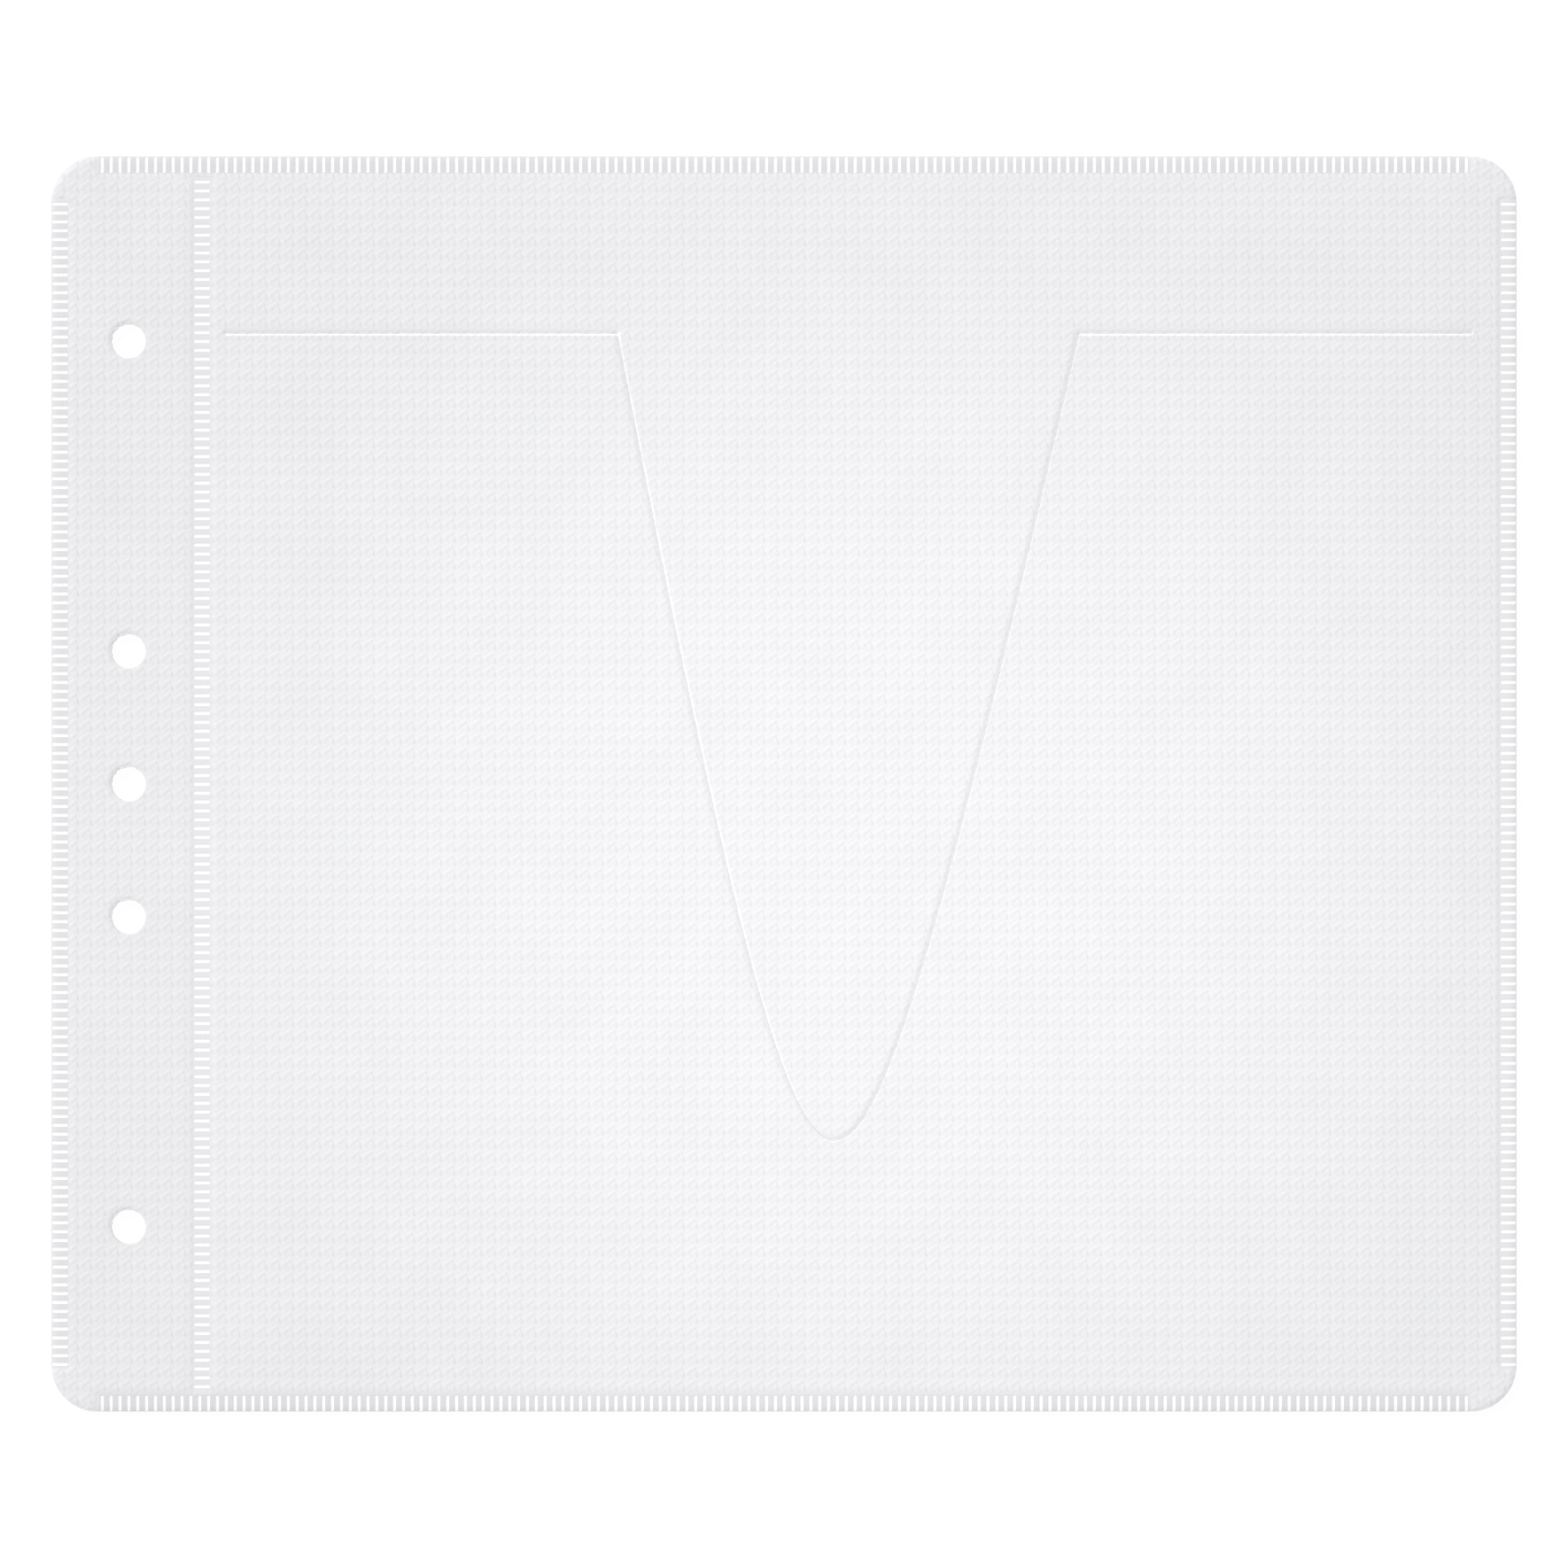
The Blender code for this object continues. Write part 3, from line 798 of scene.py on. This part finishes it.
def weld_object(name, page, box, along, free_ends, painted_light_share, material):
    """A fused strip with round-ended bars pressed into both of its faces, and painted shade on its
    land between them. Past a free end's last bar the land's painted shade fades to plain film colour."""
    ends = box[along], box[along + 2]
    bars = np.arange(ends[0] + FIRST_BAR, ends[1], page.bar_pitch)
    run = bar_run(page, bars, ends)

    low, high = box[1 - along], box[3 - along]
    wide = high - low
    tip = page.bar_width / 2 + page.bar_wall
    start = page.bar_outer_gap if low > 0 and along == ALONG_Y else page.bar_inner_gap
    stop = wide - page.bar_inner_gap
    rounding = np.array([0.0, page.bar_wall, tip * BAR_ROUNDING, tip])
    middle = [*BAR_MIDDLE, wide - BAR_MIDDLE[0]]
    across = np.concatenate([[0.0], start + rounding, middle, stop - rounding[::-1], [wide]])
    place = low + across
    if abs(low) <= abs(high):
        place, across = (high - across)[::-1], across[::-1]

    s, c = (part.ravel() for part in np.meshgrid(run, place, indexing="ij"))
    points = np.column_stack([s, c] if along == ALONG_X else [c, s])
    depth_in = np.tile(across, len(run))
    offset = np.abs(s[:, None] - bars[None]).min(axis=1)
    past = np.maximum(np.maximum(start + tip - depth_in, depth_in - (stop - tip)), 0)
    mask = 1 - smooth((np.hypot(offset, past) - page.bar_width / 2) / page.bar_wall)
    # Where the land's painted shade lies: fading out past a free end's last bar
    beyond = np.maximum(free_ends[0] * (bars[0] - s), free_ends[1] * (s - bars[-1]))
    land = 1 - smooth((beyond - tip) / WELD_END_FADE)
    z = page.land - page.edge_drop(points) - page.bar_depth * mask

    back = np.column_stack([points, 2 * page.middle - z])
    both = np.concatenate([np.column_stack([points, z]), back])
    faces = strip_faces(len(run), len(place), along == ALONG_Y)
    mesh = mesh_of(name, both, faces, material)
    mesh.set_sharp_from_angle(angle=SHARP_ANGLE)
    rest_map(mesh, page.half)
    # Masks of the bars, of the land's painted shade and of its share of painted light
    store(mesh, BAR, np.tile(mask, 2))
    store(mesh, SHADED_LAND, np.tile(land, 2))
    store(mesh, PAINTED_LIGHT_SHARE, np.full(len(both), painted_light_share))
    return link(bpy.data.objects.new(name, mesh))


# Materials


def operator_pair(operation):
    """A Python operator and its reflected form, each of which adds a Math node."""

    def forward(value, other):
        return value.math(operation, value, other)

    def reflected(value, other):
        return value.math(operation, other, value)

    return forward, reflected


class Value:
    """A number from a node's socket that takes part in Python arithmetic by adding Math nodes."""

    __add__, __radd__ = operator_pair("ADD")
    __sub__, __rsub__ = operator_pair("SUBTRACT")
    __mul__, __rmul__ = operator_pair("MULTIPLY")
    __truediv__, __rtruediv__ = operator_pair("DIVIDE")
    __pow__, __rpow__ = operator_pair("POWER")

    def __init__(self, finish, socket):
        self.finish = finish
        self.socket = socket

    def math(self, operation, *values):
        return self.finish.node(
            "ShaderNodeMath", {"operation": operation}, dict(enumerate(values))
        )

    def or_more(self, other):
        """The larger of this value and another."""
        return self.math("MAXIMUM", self, other)

    def part(self):
        """What is left over a whole number."""
        return self.math("FRACT", self)

    def ramp(self, low, high):
        """0 below low, 1 above high, smooth between."""
        settings = {"interpolation_type": "SMOOTHSTEP"}
        inputs = {"Value": self, "From Min": low, "From Max": high}
        return self.finish.node("ShaderNodeMapRange", settings, inputs)


class Finish:
    """A new material or world, whose nodes are added one by one."""

    def __init__(self, owner):
        self.owner = owner
        owner.use_nodes = True
        self.tree = owner.node_tree
        self.tree.nodes.clear()

    def node(self, kind, settings=None, inputs=None, output=0):
        """Adds a node and gives one of its outputs. Settings are set first, then the sockets'
        values or links."""
        node = self.tree.nodes.new(kind)
        for key, value in (settings or {}).items():
            setattr(node, key, value)
        for key, value in (inputs or {}).items():
            socket = self.socket(node.inputs, key)
            if isinstance(value, Value):
                self.tree.links.new(value.socket, socket)
            else:
                socket.default_value = value
        return None if output is None else Value(self, self.socket(node.outputs, output))

    @staticmethod
    def socket(sockets, key):
        """A socket by its place, identifier or name."""
        if isinstance(key, int):
            return sockets[key]
        return next(s for s in sockets if key in (s.identifier, s.name))

    def mixed(self, factor, a, b):
        """A colour between two colours."""
        inputs = {"Factor_Float": factor, "A_Color": a, "B_Color": b}
        return self.node("ShaderNodeMix", {"data_type": "RGBA"}, inputs, "Result_Color")

    def place(self, half):
        """The place on the flat page, in millimetres."""
        flat = self.node("ShaderNodeUVMap", {"uv_map": REST_MAP})
        size = (2 * half[0], 2 * half[1], 1.0)
        return self.node("ShaderNodeVectorMath", {"operation": "MULTIPLY"}, {0: flat, 1: size})

    def noise(self, vector, scale):
        inputs = {"Vector": vector, "Scale": scale, "Detail": NOISE_DETAIL}
        return self.node("ShaderNodeTexNoise", {"noise_dimensions": "2D"}, inputs)

    def stored(self, name):
        return self.node("ShaderNodeAttribute", {"attribute_name": name}, None, "Fac")

    def ray(self, kind):
        """1 for rays of that kind."""
        return self.node("ShaderNodeLightPath", None, None, f"Is {kind} Ray")

    def dot(self, x, y, pitch, at, radii, slant):
        """Slanted round dots on a square lattice, 1 at their tops and 0 between them."""
        up = ((y / pitch - at[1]).part() - 0.5) * pitch
        across = (((x / pitch - at[0]).part() - 0.5) * pitch + up * slant) / radii[0]
        up = up / radii[1]
        return (1 - across * across - up * up).or_more(0.0) ** DOT_ROUNDNESS

    def embossed(self, vector, pitch):
        """The film's four overlapping dots in each cell."""
        x = self.node("ShaderNodeSeparateXYZ", None, {"Vector": vector}, "X")
        y = self.node("ShaderNodeSeparateXYZ", None, {"Vector": vector}, "Y")
        height = 0.0
        for share_of_height, at, radii, slant in EMBOSSED_DOTS:
            height = self.dot(x, y, pitch, at, radii, slant) * share_of_height + height
        return height

    def bump(self, height, depth):
        inputs = {"Strength": 1.0, "Distance": depth, "Height": height}
        return self.node("ShaderNodeBump", None, inputs)

    def surface(self, inputs):
        shader = self.node("ShaderNodeBsdfPrincipled", None, inputs)
        self.node("ShaderNodeOutputMaterial", None, {"Surface": shader}, None)
        return self.owner


def rgba(colour, by=1.0):
    return (*(min(1.0, part * by) for part in colour), 1.0)


def film_finish(name, page, colours):
    finish = Finish(bpy.data.materials.new(name))
    vector = finish.place(page.half)
    dots = finish.embossed(vector, colours.dot_pitch / MM)
    cloud = finish.noise(vector, CLOUD_SCALE) - 0.5
    grain = finish.noise(vector, FILM_GRAIN_SCALE)
    # white: the painted highlight; pressed: pressed film and its painted shade
    white, pressed = finish.stored(PAINTED_HIGHLIGHT), finish.stored(PRESSED_SHADE)
    factor = cloud * CLOUD_TONE + 0.5 + (grain - 0.5) * FILM_GRAIN_TONE
    colour = finish.mixed(factor, *(rgba(colours.film, by) for by in FILM_TONES))
    # Painted shade where the film is pressed down beside cuts and holes, and beside welds
    colour = finish.mixed(pressed, colour, rgba(colours.pressed))
    # Painted highlight beside the cuts, on their lower right sides
    colour = finish.mixed(white, colour, rgba(colours.painted_highlight))
    roughness = colours.film_roughness + (grain - 0.5) * FILM_GRAIN_ROUGHNESS
    height = dots * (1 - pressed) + grain * FILM_GRAIN_HEIGHT
    return finish.surface(
        {
            "Base Color": colour,
            "Roughness": roughness - white * HIGHLIGHT_SMOOTHNESS,
            "Specular IOR Level": colours.film_gloss,
            "Normal": finish.bump(height, colours.dot_height),
        }
    )


def fleece_finish(name, page, colours):
    finish = Finish(bpy.data.materials.new(name))
    vector = finish.place(page.half)
    bonds = finish.embossed(vector, colours.dot_pitch / MM)
    fibres = 0.0
    for turn, shift in FIBRE_LAYERS:
        inputs = {
            "Vector": vector,
            "Location": (shift, shift, 0.0),
            "Rotation": (0.0, 0.0, turn),
            "Scale": FIBRE_CELLS,
        }
        layer = finish.node("ShaderNodeMapping", {"vector_type": "POINT"}, inputs)
        fibres = finish.noise(layer, 1.0) + fibres
    fibres = fibres / len(FIBRE_LAYERS)
    tones = (rgba(colours.fleece, by) for by in FIBRE_TONES)
    return finish.surface(
        {
            "Base Color": finish.mixed(fibres.ramp(*FIBRE_EDGE), *tones),
            "Roughness": FIBRE_ROUGHNESS[0] + fibres * FIBRE_ROUGHNESS[1],
            "Specular IOR Level": colours.film_gloss / 2,
            "Normal": finish.bump(fibres - bonds * BOND_DEPTH, FIBRE_DEPTH),
        }
    )


def weld_finish(name, page, colours):
    finish = Finish(bpy.data.materials.new(name))
    bar = finish.stored(BAR)
    grain = finish.noise(finish.place(page.half), WELD_GRAIN_SCALE)
    film = rgba(colours.film)
    # The land is painted shade between the bars: a darker copy on welds along X, a lighter lit copy
    # on welds along Y
    land = finish.mixed(finish.stored(PAINTED_LIGHT_SHARE), rgba(colours.land), rgba(colours.painted_lit_land))
    land = finish.mixed((grain - 0.5) * WELD_GRAIN_TONE + WELD_FILM_SHARE, land, film)
    # Past a free end the land's painted shade fades to plain film colour
    land = finish.mixed(finish.stored(SHADED_LAND), film, land)
    smoother = colours.film_roughness - colours.bar_roughness
    return finish.surface(
        {
            "Base Color": finish.mixed(bar.ramp(*BAR_EDGE), land, rgba(colours.bar)),
            "Roughness": colours.film_roughness - bar * smoother,
            "Specular IOR Level": colours.film_gloss,
            "Normal": finish.bump(grain * (1 - bar), WELD_GRAIN_DEPTH),
        }
    )


FINISHES = {"embossed_film": film_finish, "white_fleece": fleece_finish, "fused_film": weld_finish}


# Pieces


class PieceOperator(bpy.types.Operator):
    """What the piece operators share"""

    bl_options = {"REGISTER", "UNDO"}

    def page(self, context):
        return Page(context.scene.disc_sleeve_sizes)

    def finish(self, context, name):
        """The material of that name, made the first time that it is asked for."""
        found = bpy.data.materials.get(name)
        colours = context.scene.disc_sleeve_finishes
        return found or FINISHES[name](name, self.page(context), colours)


def bend_at_fold(obj):
    """Bakes the piece's place into its mesh."""
    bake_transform(obj)


@listed
class DISCSLEEVE_OT_pocket_films(PieceOperator):
    """Make the tongues, with rows of points where a lifted tongue bends up from the header between
    its shoulders
    """

    bl_idname = "disc_sleeve.pocket_films"
    bl_label = "Pocket Films"

    def execute(self, context):
        page = self.page(context)
        material = self.finish(context, "embossed_film")
        loops = [page.pocket_loop(), page.mouth_loop()]
        extra = page.film_points(loops, cut_rows=True)
        for name, node, side in (
            ("pocket_film_front", "front_film", FRONT),
            ("pocket_film_back", "back_film", BACK),
        ):
            film = film_object(name, page, loops, extra, side, material)
            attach(film, "pocket")
            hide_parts(node)
        return {"FINISHED"}


@listed
class DISCSLEEVE_OT_tongues(PieceOperator):
    """Make the tongues, which bend up from the header between their shoulders"""

    bl_idname = "disc_sleeve.tongues"
    bl_label = "Tongues"

    def execute(self, context):
        page = self.page(context)
        material = self.finish(context, "embossed_film")
        loops = [page.tongue_loop()]
        extra = page.film_points(loops, cut_rows=True)
        bend = page.bend_points()
        clear = distance(bend, page.cuts) > CUT_ROWS[-1] + BEND_CLEAR
        bend = bend[inside(bend, loops) & clear]
        top = page.slit_y - page.tongue_bend - BEND_BELOW
        keep = (extra[:, 1] < top) | (distance(extra, page.cuts) < CUT_ROWS[-1] + BEND_SLACK)
        extra = np.concatenate([extra[keep], bend])
        for name, node, side in (
            ("tongue_front", "front_tongue", FRONT),
            ("tongue_back", "back_tongue", BACK),
        ):
            tongue = film_object(name, page, loops, extra, side, material)
            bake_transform(tongue)
            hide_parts(node)
        return {"FINISHED"}


@listed
class DISCSLEEVE_OT_margin_films(PieceOperator):
    """Make the two films of the binding margin, with their ring holes"""

    bl_idname = "disc_sleeve.margin_films"
    bl_label = "Margin Films"

    def execute(self, context):
        page = self.page(context)
        material = self.finish(context, "embossed_film")
        loops = [page.margin_loop(), *page.holes]
        extra = page.film_points(loops, cut_rows=False)
        extra = extra[extra[:, 0] < page.fold_end - FILM_FOLD_CLEAR]
        extra = np.concatenate([extra, page.fold_points()])
        for name, node, side in (
            ("margin_film_front", "margin_front_film", FRONT),
            ("margin_film_back", "margin_back_film", BACK),
        ):
            film = film_object(name, page, loops, extra, side, material)
            bend_at_fold(film)
            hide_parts(node)
        return {"FINISHED"}


@listed
class DISCSLEEVE_OT_fleece(PieceOperator):
    """Make the fleece between the two pockets and its strip in the binding margin"""

    bl_idname = "disc_sleeve.fleece"
    bl_label = "Fleece"

    def execute(self, context):
        page = self.page(context)
        material = self.finish(context, "white_fleece")
        y = page.inner_y
        outline = divided(box_loop(page.weld_x[1], -y, page.inner_x, y), FLEECE_CELL)[:-1]
        extra = fleece_points([outline])
        divider = fleece_object("fleece_pocket", page, [outline], extra, material)
        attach(divider, "pocket")
        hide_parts("fleece_divider")

        outline = divided(box_loop(-page.inner_x, -y, page.weld_x[0], y), FLEECE_CELL)[:-1]
        loops = [outline, *page.holes]
        body = fleece_points(loops)
        body = body[body[:, 0] < page.fold_end - FLEECE_FOLD_CLEAR]
        extra = np.concatenate([body, page.fold_points()])
        strip = fleece_object("fleece_margin", page, loops, extra, material)
        bend_at_fold(strip)
        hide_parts("margin_fleece_top", "margin_fleece_middle", "margin_fleece_bottom")
        return {"FINISHED"}


@listed
class DISCSLEEVE_OT_welds(PieceOperator):
    """Make the welds with their pressed bars: four round the page and one beside the margin"""

    bl_idname = "disc_sleeve.welds"
    bl_label = "Welds"

    def execute(self, context):
        page = self.page(context)
        material = self.finish(context, "fused_film")
        top, bottom, side, spine, middle = page.welds()
        split, end, start = page.split_x, page.top_end, page.short_start
        long_top, long_bottom = ((split, box[1], end, box[3]) for box in (top, bottom))
        short_top, short_bottom = ((start, box[1], split, box[3]) for box in (top, bottom))
        # Piece, node, box, direction, which ends are free, how much painted light the land has
        made = (
            ("weld_top", "top_seam", long_top, ALONG_X, (0, 1), 0.0),
            ("weld_bottom", "bottom_seam", long_bottom, ALONG_X, (0, 1), 0.0),
            ("weld_side", "side_seam", side, ALONG_Y, (1, 1), 1.0),
            ("weld_pocket", "margin_seam", middle, ALONG_Y, (1, 1), 1.0),
            ("weld_margin_top", "margin_top_seam", short_top, ALONG_X, (1, 0), 0.0),
            ("weld_margin_bottom", "margin_bottom_seam", short_bottom, ALONG_X, (1, 0), 0.0),
            ("weld_spine", "spine_seam", spine, ALONG_Y, (1, 1), 0.5),
        )
        for name, node, box, along, free_ends, painted_light_share in made:
            weld = weld_object(name, page, box, along, free_ends, painted_light_share, material)
            if name == "weld_spine":
                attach(weld, "binding_margin")
            elif name.startswith("weld_margin"):
                bend_at_fold(weld)
            else:
                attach(weld, "pocket")
            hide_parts(node)
        return {"FINISHED"}


# Stage


def lamp(name, kind, settings, location, at):
    """A lamp that lights the page but isn't seen itself."""
    light = bpy.data.lights.new(name, kind)
    for key, value in settings.items():
        setattr(light, key, value)
    obj = link(bpy.data.objects.new(name, light))
    obj.location = location
    obj.rotation_euler = (Vector(at) - obj.location).to_track_quat("-Z", "Y").to_euler()
    obj.visible_camera = False


def shown_rays(finish):
    """1 for rays that show the background: to the camera, off gloss and through clear things."""
    return finish.ray("Camera").or_more(finish.ray("Glossy")).or_more(finish.ray("Transmission"))


def floor_finish():
    """A white floor that keeps a faint shadow, can be seen through from below and lets light
    through to the page's back."""
    finish = Finish(bpy.data.materials.new("studio_floor"))
    matt = finish.node("ShaderNodeBsdfDiffuse", None, {"Color": FLOOR_COLOUR})
    white = finish.node("ShaderNodeEmission", None, {"Color": WHITE, "Strength": FLOOR_GLOW})
    factor = shown_rays(finish) * FLOOR_GLOW_SHARE
    shown = finish.node("ShaderNodeMixShader", None, {0: factor, 1: matt, 2: white})
    clear = finish.node("ShaderNodeBsdfTransparent")
    below = finish.node("ShaderNodeNewGeometry", None, None, "Backfacing")
    open_to = below.or_more(finish.ray("Diffuse")).or_more(finish.ray("Shadow"))
    both = finish.node("ShaderNodeMixShader", None, {0: open_to, 1: shown, 2: clear})
    finish.node("ShaderNodeOutputMaterial", None, {"Surface": both}, None)
    return finish.owner


@listed
class DISCSLEEVE_OT_stage(bpy.types.Operator):
    """Set the page on a white floor under soft light, with the camera straight above it"""

    bl_idname = "disc_sleeve.stage"
    bl_label = "Stage"
    bl_options = {"REGISTER", "UNDO"}

    def execute(self, context):
        scene = context.scene
        stage = scene.disc_sleeve_stage
        scene.view_settings.view_transform = "Standard"

        mesh = bpy.data.meshes.new("floor")
        corners = box_loop(-FLOOR_REACH, -FLOOR_REACH, FLOOR_REACH, FLOOR_REACH)[:-1]
        mesh.from_pydata([(x, y, FLOOR_Z) for x, y in corners], [], [(0, 1, 2, 3)])
        mesh.materials.append(floor_finish())
        link(bpy.data.objects.new("floor", mesh))

        world = Finish(bpy.data.worlds.new("studio"))
        strength = shown_rays(world) * (1 - stage.ambient) + stage.ambient
        sky = world.node("ShaderNodeBackground", None, {"Color": WHITE, "Strength": strength})
        world.node("ShaderNodeOutputWorld", None, {"Surface": sky}, None)
        scene.world = world.owner

        key = {"energy": stage.key_light, "angle": KEY_ANGLE}
        lamp("key", "SUN", key, KEY_FROM, (0, 0, 0))
        fill = {"energy": stage.fill_light, "angle": FILL_ANGLE}
        lamp("fill", "SUN", fill, FILL_FROM, (0, 0, 0))
        glow = {
            "energy": stage.glow_light,
            "spot_size": GLOW_ANGLE,
            "spot_blend": 1.0,
            "shadow_soft_size": GLOW_RADIUS,
        }
        lamp("glow", "SPOT", glow, GLOW_FROM, (*GLOW_FROM[:2], 0))

        lens = bpy.data.cameras.new("camera")
        lens.lens = stage.lens
        lens.sensor_width = SENSOR_WIDTH
        camera = link(bpy.data.objects.new("camera", lens))
        camera.location = (0, 0, MM + stage.view_width * stage.lens / SENSOR_WIDTH)
        scene.camera = camera
        return {"FINISHED"}


@listed
class DISCSLEEVE_PT_panel(bpy.types.Panel):
    """Lists the page's pieces and its stage"""

    bl_idname = "DISCSLEEVE_PT_panel"
    bl_label = "Disc Sleeve"
    bl_space_type = "VIEW_3D"
    bl_region_type = "UI"
    bl_category = "Disc Sleeve"

    def draw(self, context):
        for name in ("stage", "pocket_films", "tongues", "margin_films", "fleece", "welds"):
            self.layout.operator("disc_sleeve." + name)
        for group in ("disc_sleeve_sizes", "disc_sleeve_finishes", "disc_sleeve_stage"):
            values = getattr(context.scene, group)
            box = self.layout.box()
            for key in values.__annotations__:
                box.prop(values, key)


def register():
    for cls in CLASSES:
        bpy.utils.register_class(cls)
    bpy.types.Scene.disc_sleeve_sizes = bpy.props.PointerProperty(type=DiscSleeveSizes)
    bpy.types.Scene.disc_sleeve_finishes = bpy.props.PointerProperty(type=DiscSleeveFinishes)
    bpy.types.Scene.disc_sleeve_stage = bpy.props.PointerProperty(type=DiscSleeveStage)


def unregister():
    del bpy.types.Scene.disc_sleeve_stage
    del bpy.types.Scene.disc_sleeve_finishes
    del bpy.types.Scene.disc_sleeve_sizes
    for cls in reversed(CLASSES):
        bpy.utils.unregister_class(cls)


def main():
    register()
    bpy.ops.disc_sleeve.stage()
    bpy.ops.disc_sleeve.pocket_films()
    bpy.ops.disc_sleeve.tongues()
    bpy.ops.disc_sleeve.margin_films()
    bpy.ops.disc_sleeve.fleece()
    bpy.ops.disc_sleeve.welds()


if __name__ == "__main__":
    main()
